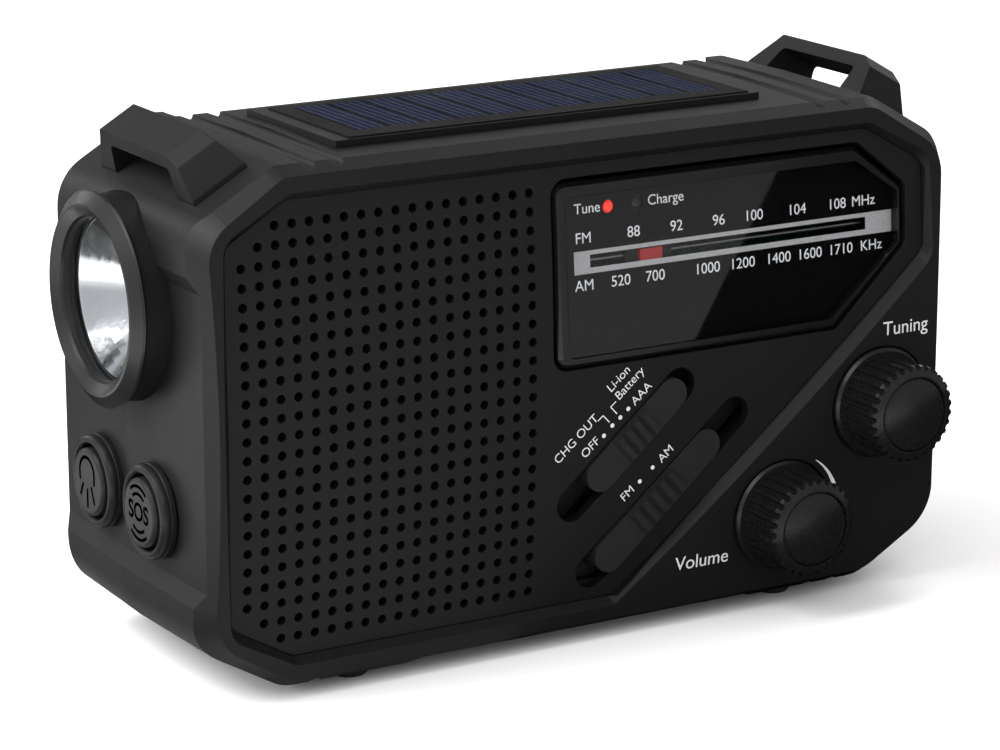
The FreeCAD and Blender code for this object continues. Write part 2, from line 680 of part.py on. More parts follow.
def knob_works():
    """What the knob shafts turn: the volume control, the tuning capacitor and the dial drum."""
    board = size.board_y
    pot = rod("pot_can", "8.2", "9", (size.volume_x, board - 9, size.volume_z), (0, 1, 0))
    pot_bore = rod("pot_bore", "knob_shaft + shaft_gap", "8", (size.volume_x, board - 9.5,
                   size.volume_z), (0, 1, 0))
    finish("volume_control", cut("volume_control", pot, [pot_bore]))
    can = block("capacitor_can", ("tuning_x - 9.5", "tuning_x + 9.5"), ("board_y - 7", "board_y"),
                ("tuning_z - 9.5", "tuning_z + 9.5"))
    can_bore = rod("capacitor_bore", "knob_shaft + shaft_gap", "6",
                   (size.tuning_x, board - 7.5, size.tuning_z), (0, 1, 0))
    finish("tuning_capacitor", cut("tuning_capacitor", can, [can_bore]))
    turned("dial_drum", [(size.knob_shaft, 0), (size.drum_radius + 0.8, 0),
                         (size.drum_radius + 0.8, 0.7), (size.drum_radius, 1.1),
                         (size.drum_radius, 2.1), (size.drum_radius + 0.8, 2.5),
                         (size.drum_radius + 0.8, 3.2), (size.knob_shaft, 3.2)],
           (size.tuning_x, board - 7.6, size.tuning_z), (0, -1, 0))


# ---------------------------------------------------------------- torch and side buttons

def side_start(y, z):
    return (-(size.half_width - size.side_inset), y, z)


def bowl_edge(start, end, bend=1.6, count=9):
    """Points along a dished curve between two (radius, height) points, start included."""
    points = []
    for i in range(count):
        share = i / count
        points.append((start[0] + (end[0] - start[0]) * share,
                       start[1] + (end[1] - start[1]) * share ** bend))
    return points


def torch():
    """Torch in the left end: barrel, bezel, lens, reflector and lamp on one axis."""
    start, out = side_start(size.torch_y, size.torch_z), (-1, 0, 0)
    rim, barrel = size.torch_rim, size.torch_radius
    turned("torch_barrel", [(0, -11), (barrel, -11), (barrel, 4.5), (barrel - 1.8, 4.5),
                            (barrel - 1.8, -9.4), (0, -9.4)], start, out)
    turned("torch_bezel", [(15.5, 2.6), (16.7, 2.6), (16.7, 4.5), (barrel, 4.5), (rim - 0.3, 4.6),
                           (rim, 5.0), (rim - 0.3, 5.4), (17.2, 6.8), (16.7, 6.9), (15.0, 5.7),
                           (14.7, 5.2), (14.7, 4.0), (15.5, 4.0)], start, out)
    turned("torch_lens", [(0, 2.5), (15.4, 2.5), (15.4, 3.95), (0, 3.95)], start, out)
    back = bowl_edge((3.6, -7.6), (15.2, 1.4))
    front = bowl_edge((2.6, -6.6), (14.4, 2.3))
    turned("torch_reflector", [(2.6, -7.6)] + back + [(15.2, 1.4), (16.6, 1.4), (16.6, 2.3),
                                                      (14.4, 2.3)] + front[::-1], start, out)
    turned("torch_lamp", [(0, -9.3), (9.0, -9.3), (9.0, -7.9), (2.2, -7.9), (2.2, -6.6),
                          (1.2, -5.9), (0, -5.7)], start, out)


def button_collar(label, y):
    outer, bore, tall = size.collar_radius, size.collar_bore, size.collar_tall
    return turned(label, [(bore, 0), (outer, 0), (outer, 0.9), (outer - 0.25, 1.1),
                          (outer, 1.3), (outer - 0.05, tall - 0.9), (outer - 0.25, tall - 0.4),
                          (outer - 0.65, tall - 0.08), (outer - 0.95, tall), (bore + 0.6, tall),
                          (bore + 0.25, tall - 0.12), (bore, tall - 0.5)],
                  side_start(y, size.button_z), (-1, 0, 0))


def side_button(label, y):
    """Push button whose stem reaches the switch inside."""
    start, out = side_start(y, size.button_z), (-1, 0, 0)
    radius = size.button_radius
    turned(label, [(0, -5), (3.0, -5), (3.0, 1.2), (radius, 1.2), (radius, 2.8),
                   (radius - 0.2, 3.2), (radius - 0.6, 3.4), (0, 3.4)], start, out)


def button_board():
    plate = block("button_plate", ("-71", "-69.4"), ("-20", "18"), ("24", "42"))
    switches = [block("switch_%s" % tag, ("-72.9", "-71"), (y + " - 3", y + " + 3"),
                      ("button_z - 3", "button_z + 3"))
                for tag, y in (("sos", "sos_y"), ("lamp", "lamp_button_y"))]
    finish("button_board", fuse("button_board", [plate] + switches))


# ---------------------------------------------------------------- top

def solar(forms):
    """Raised tray on the deck with the glass-topped cell panel let into it."""
    rough = block("tray_rough", ("tray_x - tray_wide / 2", "tray_x + tray_wide / 2"),
                  ("tray_front", "tray_rear"), ("top_z - 2", "tray_top"))
    seat = block("tray_seat", ("cell_x - glass_wide / 2 - 0.15", "cell_x + glass_wide / 2 + 0.15"),
                 ("glass_front - 0.15", "glass_rear + 0.15"), ("top_z + 0.3", "top_z + 5"))
    finish("solar_tray", cut("solar_tray", rough, forms + [seat]))
    finish("solar_panel", block("solar_glass", ("cell_x - glass_wide / 2",
                                                "cell_x + glass_wide / 2"),
                                ("glass_front", "glass_rear"), ("top_z + 0.3", "glass_top")))


def drawn_prism(name, outline, radii, frame, direction, reach):
    """Prism through a placed outline, reaching equally far to both sides."""
    drawing = doc.addObject("Sketcher::SketchObject", name + "_outline")
    drawing.addGeometry(rounded(outline, radii), False)
    drawing.Placement = frame
    solid = doc.addObject("Part::Extrusion", name)
    solid.Base = drawing
    solid.DirMode = "Custom"
    solid.Dir = direction
    solid.LengthFwd = reach
    solid.LengthRev = reach
    solid.Solid = True
    return solid


def strap_loop(label, side, forms):
    """Faceted arch, flared at its feet, that stands square on the sloping corner."""
    slope = math.radians(size.corner_slope)
    front, rear, tall, bar = size.loop_front, size.loop_rear, size.loop_tall, size.loop_bar
    arch = [(front, -1.5), (rear, -1.5), (rear - 0.5, 0.5), (rear - 3.2, tall - 2.2),
            (rear - 4.6, tall), (front + 6.6, tall), (front + 3.2, tall - 1.9),
            (front + 0.3, 0.5)]
    leg = 6.4
    way = [(front + leg, -3.0), (rear - leg, -3.0), (rear - leg - 0.9, tall - bar),
           (front + leg + 0.8, tall - bar)]
    half_foot, half_bend, half_top = (getattr(size, "loop_%s_wide" % part) / 2
                                      for part in ("foot", "bend", "top"))
    flare = [(half_foot, -1.5), (half_foot, 0.3), (half_bend, tall - 2.0), (half_top, tall + 1.0)]
    flare += [(-u, w) for u, w in reversed(flare)]
    rise = size.top_z - (size.loop_x - size.corner_x) * math.tan(slope)
    base = V(side * size.loop_x, 0, rise)
    along = V(-side * math.cos(slope), 0, math.sin(slope))
    up = V(side * math.sin(slope), 0, math.cos(slope))
    lengthwise = V(0, 1, 0)
    arch_frame = FreeCAD.Placement(base, FreeCAD.Rotation(lengthwise, up, lengthwise.cross(up), "XYZ"))
    flare_frame = FreeCAD.Placement(base, FreeCAD.Rotation(along, up, along.cross(up), "XYZ"))
    blank = common(label + "_blank", [
        drawn_prism(label + "_arch", arch, 0.7, arch_frame, along, 12),
        drawn_prism(label + "_flare", flare, 0, flare_frame, lengthwise, 40)])
    opening = drawn_prism(label + "_way", way, [0, 0, 1.2, 1.2], arch_frame, along, 20)
    finish(label, cut(label, blank, [opening] + forms))


# ---------------------------------------------------------------- crank and generator

def gear_edges(teeth, x, z, phase):
    """Straight-flanked gear outline; phase turns it by a share of one tooth."""
    pitch = math.radians(360.0 / teeth)
    root = size.gear_module * (teeth / 2 - 1.15)
    tip = size.gear_module * (teeth / 2 + 0.75)
    points = []
    for i in range(teeth):
        middle = (i + phase) * pitch
        for radius, share in ((root, -0.27), (tip, -0.11), (tip, 0.11), (root, 0.27)):
            points.append((x + radius * math.cos(middle + share * pitch),
                           z + radius * math.sin(middle + share * pitch)))
    return rounded(points, 0)


def crank():
    """Crank arm in its round dish, its fold-out grip and the gear on its shaft."""
    x, z, floor = size.crank_x, size.crank_z, size.dish_floor
    tip_x = x - size.arm_length
    low, high = floor + 0.2, floor + 0.2 + size.arm_thick
    plate = slab("arm_plate", stadium((x + tip_x) / 2, z, size.arm_length, size.arm_wide, 0),
                 low, high)
    hub = rod("arm_hub", "11", "arm_thick", (x, low, z), (0, 1, 0))
    shaft = rod("arm_shaft", "3", "11.5", (x, low - 11.5, z), (0, 1, 0))
    pin_x, pin_y = tip_x + 1.0, high + size.grip_radius + 0.4
    ears = [block("arm_ear_%s" % tag, ("%g" % (pin_x - 2.6), "%g" % (pin_x + 2.6)),
                  ("%g" % (high - 0.5), "%g" % (pin_y + 2.2)), ("crank_z + " + low_z,
                                                                "crank_z + " + high_z))
            for tag, low_z, high_z in (("low", "(-5.9)", "(-4.6)"), ("high", "4.6", "5.9"))]
    pin = rod("arm_pin", "1", "11.8", (pin_x, pin_y, z - 5.9), (0, 0, 1))
    finish("crank_arm", fuse("crank_arm", [plate, hub, shaft, pin] + ears))

    knuckle = rod("grip_knuckle", "3.8", "9", (pin_x, pin_y, z - 4.5), (0, 0, 1))
    spindle = rod("grip_spindle", "2", "grip_length + 4.6", (pin_x + 2, pin_y, z), (1, 0, 0))
    head = rod("grip_head", "3.2", "1.2", (pin_x + 5.6 + size.grip_length, pin_y, z), (1, 0, 0))
    bore = rod("knuckle_bore", "1.06", "12", (pin_x, pin_y, z - 6), (0, 0, 1))
    finish("grip_core", cut("grip_core", fuse("grip_blank", [knuckle, spindle, head]), [bore]))
    long, radius = size.grip_length, size.grip_radius
    turned("crank_grip", [(2.06, 0), (radius - 0.6, 0), (radius, 0.8), (radius - 0.5, long / 2),
                          (radius, long - 0.8), (radius - 0.6, long), (2.06, long)],
           (pin_x + 4.8, pin_y, z), (1, 0, 0))

    wheel = slab("drive_wheel", gear_edges(int(size.drive_teeth), x, z, 0), size.gear_y,
                 size.gear_y + size.gear_wide)
    wheel_bore = rod("drive_bore", "3", "10", (x, size.gear_y - 3, z), (0, 1, 0))
    finish("drive_gear", cut("drive_gear", wheel, [wheel_bore]))


def generator():
    reach = size.gear_module * (size.drive_teeth + size.pinion_teeth) / 2
    x, z = size.crank_x - reach, size.crank_z
    pinion = slab("pinion_wheel", gear_edges(int(size.pinion_teeth), x, z, 0.5), size.gear_y,
                  size.gear_y + size.gear_wide)
    shaft = rod("rotor_shaft", "1", "16", (x, -6.4, z), (0, 1, 0))
    magnet = rod("rotor_magnet", "8", "9", (x, -5.5, z), (0, 1, 0))
    finish("generator_rotor", fuse("generator_rotor", [pinion, shaft, magnet]))
    turned("generator_case", [(1.06, 0), (13, 0), (13, 14), (1.06, 14), (1.06, 12.6),
                              (11.6, 12.6), (11.6, 1.4), (1.06, 1.4)],
           (x, -7.6, z), (0, 1, 0))


# ---------------------------------------------------------------- aerial

def aerial():
    """Telescopic aerial lying in the well: swivel base, hinged tube and four inner sections."""
    x, y, z, radius = size.aerial_x, size.aerial_y, size.aerial_z, size.aerial_radius
    post = rod("base_post", "2.5", "5.3", (x, y, size.well_z - 4.9), (0, 0, 1))
    disc = rod("base_disc", "4.9", "0.9", (x, y, size.well_z + 0.15), (0, 0, 1))
    ears = []
    for tag, low, high in (("near", -3.1, -2.0), ("far", 2.0, 3.1)):
        ears.append(rod("base_ear_" + tag, "3.3", "%g" % (high - low), (x, y + low, z), (0, 1, 0)))
        ears.append(block("base_cheek_" + tag, ("aerial_x - 3.3", "aerial_x + 3.3"),
                          ("aerial_y + (%g)" % low, "aerial_y + (%g)" % high),
                          ("well_z + 0.8", "aerial_z")))
    pin = rod("base_pin", "0.9", "6.2", (x, y - 3.1, z), (0, 1, 0))
    finish("aerial_base", fuse("aerial_base", [post, disc, pin] + ears))

    near = x + 5.2
    far = near + size.aerial_length
    tube = rod("tube_outer", "aerial_radius", "aerial_length", (near, y, z), (1, 0, 0))
    tongue = block("tube_tongue", ("aerial_x", "aerial_x + 7"), ("aerial_y - 1.9",
                   "aerial_y + 1.9"), ("aerial_z - 2.6", "aerial_z + 2.6"))
    eye = rod("tube_eye", "2.6", "3.8", (x, y - 1.9, z), (0, 1, 0))
    pin_bore = rod("tube_pin_bore", "0.96", "8", (x, y - 4, z), (0, 1, 0))
    outer_radii = [radius, 2.6, 1.9, 1.3, 0.75]
    inner = rod("tube_bore", "%g" % (outer_radii[1] + 0.05), "aerial_length",
                (near + 3, y, z), (1, 0, 0))
    finish("aerial_tube", cut("aerial_tube", fuse("tube_blank", [tube, tongue, eye]),
                              [pin_bore, inner]))
    for i in range(1, 4):
        long = size.aerial_length - 4 - i * 2.0
        tip = far + 0.6 * i
        section = rod("section_%d_outer" % (i + 1), "%g" % outer_radii[i], "%g" % long,
                      (tip - long, y, z), (1, 0, 0))
        hollow = rod("section_%d_bore" % (i + 1), "%g" % (outer_radii[i + 1] + 0.05),
                     "%g" % (long - 1.0), (tip - long + 1.5, y, z), (1, 0, 0))
        finish("aerial_section_%d" % (i + 1), cut("aerial_section_%d" % (i + 1), section,
                                                  [hollow]))
    stem = rod("tip_stem", "%g" % outer_radii[4], "80", (far + 3 - 80, y, z), (1, 0, 0))
    cap = rod("tip_cap", "3.2", "4.6", (far + 2.6, y, z), (1, 0, 0))
    finish("aerial_tip", fuse("aerial_tip", [stem, cap]))


# ---------------------------------------------------------------- power

SMALL_CELL_Z = [43.0, 55.0, 67.0]
SMALL_CELL_Y = 17.5


def power():
    left = size.cell_left
    finish("battery_cell", rod("battery_cell", "cell_radius", "cell_length",
                               (left, size.cell_y, size.cell_z), (1, 0, 0)))
    cells = []
    left = size.small_cell_left
    for i, z in enumerate(SMALL_CELL_Z):
        cells.append(rod("small_can_%d" % i, "small_cell_radius", "small_cell_length - 1",
                         (left, SMALL_CELL_Y, z), (1, 0, 0)))
        cells.append(rod("small_nub_%d" % i, "1.9", "1.2",
                         (left + size.small_cell_length - 1.2, SMALL_CELL_Y, z), (1, 0, 0)))
    finish("aaa_cells", fuse("aaa_cells", cells))
    right = left + size.small_cell_length
    plates = [block("contact_left", ("%g" % (left - 1.4), "%g" % (left - 0.1)),
                    ("12.5", "22.0"), ("38", "72")),
              block("contact_right", ("%g" % (right + 0.1), "%g" % (right + 1.4)),
                    ("12.5", "22.0"), ("38", "72"))]
    finish("battery_contacts", fuse("battery_contacts", plates))


def battery_door(rear_form):
    """Flush door that follows the crown of the back."""
    gap = 0.15
    leaf = slab("door_leaf", rectangle(size.door_left + gap, size.door_right - gap,
                                       size.door_low + gap, size.door_high - gap, 2.9),
                27.2 - size.door_thick + 0.1, 50)
    thumb = rod("door_thumb", "7", "12", ((size.door_left + size.door_right) / 2, 33.5, 66),
                (0, 0, 1))
    finish("battery_door", cut("battery_door", common("door_body", [leaf, rear_form]), [thumb]))


# ---------------------------------------------------------------- sound and electronics

def speaker():
    start, out = (size.grille_x, size.speaker_y, size.grille_z), (0, 1, 0)
    radius = size.speaker_radius
    turned("speaker_frame", [(radius - 4, 0), (radius, 0), (radius, 1.6), (radius - 3, 1.8),
                             (16, 11.0), (9.0, 11.0), (9.0, 9.6), (15.2, 9.6),
                             (radius - 4, 1.6)], start, out)
    turned("speaker_cone", [(0, 5.6), (5.5, 6.6), (7.5, 8.6), (radius - 7, 1.4),
                            (radius - 4.2, 0.3), (radius - 4.2, 0.9), (radius - 7, 2.0),
                            (8.2, 9.3), (7.0, 9.4), (5.0, 7.4), (0, 6.4)], start, out)
    turned("speaker_magnet", [(0, 11.05), (14, 11.05), (14, 17), (13, 18), (0, 18)], start, out)
    finish("grille_cloth", slab("grille_cloth", rectangle(size.grille_x - 29.1, size.grille_x + 30,
                                                          size.grille_z - 29.5,
                                                          size.grille_z + 29.5, 6.0),
                                size.speaker_y - 0.6, size.speaker_y - 0.1))


def electronics():
    """Main board, slide switches, port sockets and the ferrite aerial with its coil."""
    board = block("board_plate", ("-4", "74"), ("board_y", "board_y + board_thick"),
                  ("11", "84"))
    holes = [rod("board_hole_%d" % i, "4.2", "10", (x, size.board_y - 4, z), (0, 1, 0))
             for i, (x, z) in enumerate(SCREWS)]
    finish("main_board", cut("main_board", board, holes))
    switches = []
    for label in ("power", "band"):
        x, z = getattr(size, label + "_slot_x"), getattr(size, label + "_slot_z")
        switches.append(slab(label + "_switch", slanted(x, z, 0, 0, 9, 3.6), size.board_y - 7,
                             size.board_y))
    group("slide_switches", switches)
    chips = [block("chip_radio", ("20", "30"), ("board_y + board_thick", "board_y + 3"),
                   ("58", "68")),
             block("chip_charger", ("40", "46"), ("board_y + board_thick", "board_y + 2.6"),
                   ("24", "30")),
             rod("chip_capacitor", "3.2", "8", (14, size.board_y + size.board_thick, 18),
                 (0, 1, 0))]
    finish("board_parts", fuse("board_parts", chips))
    finish("usb_a_socket", cut("usb_a_socket",
                               block("usb_a_shell", ("64", "flap_face - flap_thick - 0.2"),
                                     ("2.95", "9.05"), ("44.1", "57.9")),
                               [block("usb_a_mouth", ("66", "90"), ("3.35", "8.65"),
                                      ("44.7", "57.3"))]))
    finish("usb_c_socket", cut("usb_c_socket",
                               block("usb_c_shell", ("70", "flap_face - flap_thick - 0.2"),
                                     ("4.3", "7.7"), ("30.2", "39.4")),
                               [block("usb_c_mouth", ("72", "90"), ("4.7", "7.3"),
                                      ("30.6", "39.0"))]))
    finish("port_board", block("port_plate", ("64", "76.4"), ("0.9", "2.4"), ("26", "62")))
    finish("ferrite_rod", rod("ferrite_rod", "4", "60", (-2, 8, 83.5), (1, 0, 0)))
    turned("aerial_coil", [(4.02, 0), (5.2, 0), (5.2, 24), (4.02, 24)], (12, 8, 83.5), (1, 0, 0))


def port_flap():
    leaf = block("flap_leaf", ("flap_face - flap_thick + 0.1", "flap_face"),
                 ("flap_front", "flap_rear - 1"), ("flap_low", "flap_high"))
    barrel = rod("flap_barrel", "1.05", "flap_high - flap_low",
                 (size.flap_face - 1.1, size.flap_rear - 1.0, size.flap_low), (0, 0, 1))
    finish("port_flap", fuse("port_flap", [leaf, barrel]))


# ---------------------------------------------------------------- fastenings and feet

def screws():
    pieces = []
    for i, (x, z) in enumerate(SCREWS):
        head = rod("screw_head_%d" % i, "2.7", "2", (x, 12, z), (0, 1, 0))
        shank = rod("screw_shank_%d" % i, "1.2", "27", (x, -14.5, z), (0, 1, 0))
        socket = rod("screw_socket_%d" % i, "1.2", "2", (x, 12.8, z), (0, 1, 0))
        pieces.append(cut("screw_%d" % i, fuse("screw_blank_%d" % i, [head, shank]), [socket]))
    finish("case_screws", fuse("case_screws", pieces))


def feet():
    pads = []
    for x in (-46.5, 46.5):
        for y in (-23, 20):
            pads.append(turned_pad("foot_%d_%d" % (x, y), x, y))
    finish("rubber_feet", fuse("rubber_feet", pads))


def turned_pad(name, x, y):
    low = doc.addObject("Part::Cone", name)
    low.Radius1, low.Radius2, low.Height = 3.0, 3.5, 0.6
    low.Placement.Base = V(x, y, 0)
    return fuse(name + "_pad", [low, rod(name + "_top", "3.5", "1.5", (x, y, 0.6), (0, 0, 1))])


forms = [front_shell(), rear_shell()]
front_panel()
dial_group()
slider("power", 4, 2.25)
slider("band", 5, 2.5)
knob("volume", 16.8)
knob("tuning", 16.5)
knob_works()
torch()
side_button("sos_button", size.sos_y)
side_button("torch_button", size.lamp_button_y)
group("button_collars", [button_collar("sos_collar", size.sos_y),
                         button_collar("torch_collar", size.lamp_button_y)])
button_board()
solar(forms)
strap_loop("strap_loop_left", -1, forms)
strap_loop("strap_loop_right", 1, forms)
crank()
generator()
aerial()
power()
battery_door(forms[1])
speaker()
electronics()
port_flap()
screws()
feet()

# ---------------------------------------------------------------- check and export

doc.recompute()
for thing in doc.Objects:
    if {"Invalid", "Error"} & set(thing.State):
        raise RuntimeError("%s did not build: %s" % (thing.Label, thing.State))
os.makedirs("parts", exist_ok=True)
for label, thing in nodes.items():
    shape = thing.Shape
    if shape.isNull() or not shape.isValid():
        raise RuntimeError("%s has no valid shape" % label)
    shape.exportStep(os.path.join("parts", label + ".step"))
    print(label, len(shape.Solids), round(shape.Volume), shape.BoundBox)
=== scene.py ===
"""Looks of the emergency radio: materials, printed legends, camera and light round the CAD frame."""
import math

import bpy
from mathutils import Matrix, Vector


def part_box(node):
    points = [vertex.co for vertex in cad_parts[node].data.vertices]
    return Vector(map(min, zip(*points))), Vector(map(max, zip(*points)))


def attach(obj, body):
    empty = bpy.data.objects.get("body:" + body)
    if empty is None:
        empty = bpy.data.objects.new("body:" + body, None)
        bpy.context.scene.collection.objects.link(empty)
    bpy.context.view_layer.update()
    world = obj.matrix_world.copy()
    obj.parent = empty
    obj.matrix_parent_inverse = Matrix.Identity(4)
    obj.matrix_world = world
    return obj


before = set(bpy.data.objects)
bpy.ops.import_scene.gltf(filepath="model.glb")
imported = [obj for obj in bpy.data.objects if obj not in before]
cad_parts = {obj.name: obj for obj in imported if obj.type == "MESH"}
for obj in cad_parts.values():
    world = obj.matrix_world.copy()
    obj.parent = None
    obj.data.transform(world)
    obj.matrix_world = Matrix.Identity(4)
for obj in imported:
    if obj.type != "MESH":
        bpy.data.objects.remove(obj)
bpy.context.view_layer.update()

MM = 0.001
# The case front and the sunken panel are crowned about one level axis (radii and places in mm).
CROWN_Y, CROWN_Z = 391.4, 49.2
RIM_RADIUS, PANEL_RADIUS = 425.0, 423.0
SLIDER_ANGLE = 40.8
# The dial leans back from its lower front edge; its scale plate lies behind the lens.
DIAL_Y, DIAL_BASE, DIAL_LEAN = -31.2, 55.0, math.radians(4.0)
SCALE_DEPTH = 1.62
INK_LIFT = 0.03
INK_THICK = 0.02


def middle(node):
    """Centre of a CAD node's box, in mm."""
    low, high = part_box(node)
    return (Vector(low) + Vector(high)) / (2 * MM)


# ---------------------------------------------------------------- shader helpers

class Graph:
    """A material's node tree with short calls to add and join nodes."""

    def __init__(self, name):
        self.material = bpy.data.materials.new(name)
        self.material.use_nodes = True
        self.tree = self.material.node_tree
        self.tree.nodes.clear()
        self.output = self.tree.nodes.new("ShaderNodeOutputMaterial")

    def join(self, source, node, socket):
        """Feed a socket from another node's output or with a plain value."""
        if isinstance(source, bpy.types.NodeSocket):
            self.tree.links.new(source, node.inputs[socket])
        elif source is not None:
            node.inputs[socket].default_value = source

    def add(self, kind, inputs=None, **settings):
        """New shader node of a kind, with its inputs joined and its settings made."""
        node = self.tree.nodes.new("ShaderNode" + kind)
        for key, value in settings.items():
            setattr(node, key, value)
        for socket, source in (inputs or {}).items():
            self.join(source, node, socket)
        return node

    def math(self, operation, a, b=None):
        node = self.add("Math", {0: a}, operation=operation)
        if b is not None:
            self.join(b, node, 1)
        return node.outputs[0]

    def place(self):
        """Position in the row frame, in metres."""
        return self.add("TexCoord").outputs["Object"]

    def axes(self):
        """The three coordinates of that position."""
        node = self.add("SeparateXYZ", {0: self.place()})
        return node.outputs[0], node.outputs[1], node.outputs[2]

    def noise(self, scale, detail=3.0, vector=None, roughness=0.5):
        node = self.add("TexNoise", {"Vector": vector or self.place(), "Scale": scale,
                                     "Detail": detail, "Roughness": roughness})
        return node.outputs["Fac"]

    def spread(self, value, low, high, new_low, new_high):
        """Map a value from one range to another, held at its ends."""
        node = self.add("MapRange", {0: value, 1: low, 2: high, 3: new_low, 4: new_high})
        return node.outputs[0]

    def band(self, value, low, high):
        """1 between two values, 0 outside."""
        above = self.math("GREATER_THAN", value, low)
        below = self.math("LESS_THAN", value, high)
        return self.math("MULTIPLY", above, below)

    def mix(self, share, first, second):
        """Blend of two colours: the second one's share runs from 0 to 1."""
        node = self.add("Mix", data_type="RGBA")
        self.join(share, node, 0)
        self.join(first, node, 6)
        self.join(second, node, 7)
        return node.outputs[2]

    def bump(self, height, distance, strength=1.0, normal=None):
        return self.add("Bump", {"Height": height, "Distance": distance, "Strength": strength,
                                 "Normal": normal}).outputs[0]

    def soft_edge(self, radius):
        """Normal that rounds sharp edges by a radius in metres."""
        return self.add("Bevel", {"Radius": radius}, samples=4).outputs[0]

    def surface(self, colour, roughness, normal=None, **extra):
        """Finish the material with one principled shader."""
        shader = self.add("BsdfPrincipled")
        self.join(colour, shader, "Base Color")
        self.join(roughness, shader, "Roughness")
        self.join(normal, shader, "Normal")
        for socket, value in extra.items():
            self.join(value, shader, socket.replace("_", " "))
        self.tree.links.new(shader.outputs[0], self.output.inputs[0])
        return shader


def grey(value):
    """Neutral colour with a trace of blue."""
    return (value, value, value * 1.03, 1.0)


def plastic(name, shade, roughness, grain, depth, edge=0.25, coat=0.0, shine=0.3):
    """Moulded plastic: spark-eroded grain, uneven gloss, faint dust and rounded edges."""
    g = Graph(name)
    fine = g.noise(1.0 / (grain * MM), 2.0)
    broad = g.noise(45.0, 4.0)
    dust = g.noise(900.0, 5.0, roughness=0.7)
    rough = g.math("ADD", g.spread(broad, 0.3, 0.7, roughness - 0.05, roughness + 0.06),
                   g.spread(fine, 0.35, 0.65, -0.03, 0.03))
    colour = g.mix(g.spread(dust, 0.55, 0.8, 0.0, 0.4), grey(shade), grey(shade * 1.7))
    edges = g.soft_edge(edge * MM) if edge else None
    normal = g.bump(fine, depth * MM, 0.8, edges)
    g.surface(colour, rough, normal, Coat_Weight=coat, Coat_Roughness=0.08,
              Specular_IOR_Level=shine)
    return g.material


def rubber(name, shade):
    """Matt rubber with a fine tooth."""
    g = Graph(name)
    fine = g.noise(2600.0, 3.0)
    colour = g.mix(g.noise(120.0, 4.0), grey(shade), grey(shade * 1.7))
    g.surface(colour, g.spread(fine, 0.3, 0.7, 0.72, 0.9),
              g.bump(fine, 0.05 * MM, 0.7, g.soft_edge(0.3 * MM)))
    return g.material


def metal(name, colour, roughness, scratch=0.6, edge=0.15):
    """Drawn metal: fine streaks from left to right over a slightly uneven polish."""
    g = Graph(name)
    mapped = g.add("Mapping", {0: g.place(), 3: (25.0, 900.0, 900.0)}).outputs[0]
    streaks = g.noise(1.6, 4.0, mapped)
    blotch = g.noise(70.0, 3.0)
    rough = g.math("ADD", g.spread(streaks, 0.3, 0.7, roughness * 0.7, roughness * 1.4),
                   g.spread(blotch, 0.3, 0.7, -0.02, 0.04))
    worn = [channel * 0.75 for channel in colour]
    tint = g.mix(g.spread(blotch, 0.35, 0.7, 0.0, 0.4), (*colour, 1), (*worn, 1))
    normal = g.bump(streaks, 0.01 * MM, scratch, g.soft_edge(edge * MM))
    g.surface(tint, rough, normal, Metallic=1.0)
    return g.material


def clear_lens(name, tint, haze):
    """Thin clear moulding: reflects by angle and lets the light straight through."""
    g = Graph(name)
    rough = g.spread(g.noise(300.0, 4.0), 0.3, 0.7, haze, haze + 0.01)
    gloss = g.add("BsdfGlossy", {"Color": (1, 1, 1, 1), "Roughness": rough})
    through = g.add("BsdfTransparent", {0: tint})
    facing = g.add("Fresnel", {"IOR": 1.49}).outputs[0]
    outer = g.math("SUBTRACT", 1.0, g.add("NewGeometry").outputs["Backfacing"])
    share = g.math("MULTIPLY", facing, outer)
    blend = g.add("MixShader", {0: share, 1: through.outputs[0], 2: gloss.outputs[0]})
    g.tree.links.new(blend.outputs[0], g.output.inputs[0])
    return g.material


def circuit_board(name):
    """Green solder mask with paler raised tracks."""
    g = Graph(name)
    cells = g.add("TexVoronoi", {"Vector": g.place(), "Scale": 420.0}, feature="DISTANCE_TO_EDGE",
                  distance="MANHATTAN")
    track = g.math("LESS_THAN", cells.outputs[0], 0.08)
    colour = g.mix(track, (0.012, 0.09, 0.04, 1), (0.03, 0.17, 0.08, 1))
    g.surface(colour, g.spread(track, 0, 1, 0.35, 0.28), g.bump(track, 0.04 * MM, 0.8))
    return g.material


def woven(name, shade, pitch):
    """Plain weave: two crossed thread waves drive the relief, and the colour is darker where the
    threads sink, which is painted shade in the hollows of the weave.
    """
    g = Graph(name)
    x, y, z = g.axes()
    step = 2 * math.pi / (pitch * MM)
    over = g.math("SINE", g.math("MULTIPLY", x, step))
    under = g.math("SINE", g.math("MULTIPLY", z, step))
    height = g.math("MULTIPLY", over, under)
    # Colour darker where the weave is low: painted shade in the hollows between the threads.
    colour = g.mix(g.spread(height, -1, 1, 0, 1), grey(shade * 0.4), grey(shade))
    g.surface(colour, 0.9, g.bump(height, 0.1 * MM), Sheen_Weight=0.3)
    return g.material


def paper_cone(name):
    """Black pulp paper with its fibres."""
    g = Graph(name)
    fibre = g.noise(700.0, 6.0, roughness=0.7)
    colour = g.mix(fibre, grey(0.012), grey(0.05))
    g.surface(colour, 0.85, g.bump(fibre, 0.08 * MM))
    return g.material


def sleeve(name, colour, band_colour, start, end):
    """Shrink sleeve of a battery cell with a contrasting band between two places along X."""
    g = Graph(name)
    x, y, z = g.axes()
    band = g.band(x, start * MM, end * MM)
    wrinkle = g.noise(160.0, 4.0)
    tone = g.mix(band, (*colour, 1), (*band_colour, 1))
    g.surface(tone, g.spread(wrinkle, 0.3, 0.7, 0.22, 0.4), g.bump(wrinkle, 0.05 * MM),
              Coat_Weight=0.4)
    return g.material


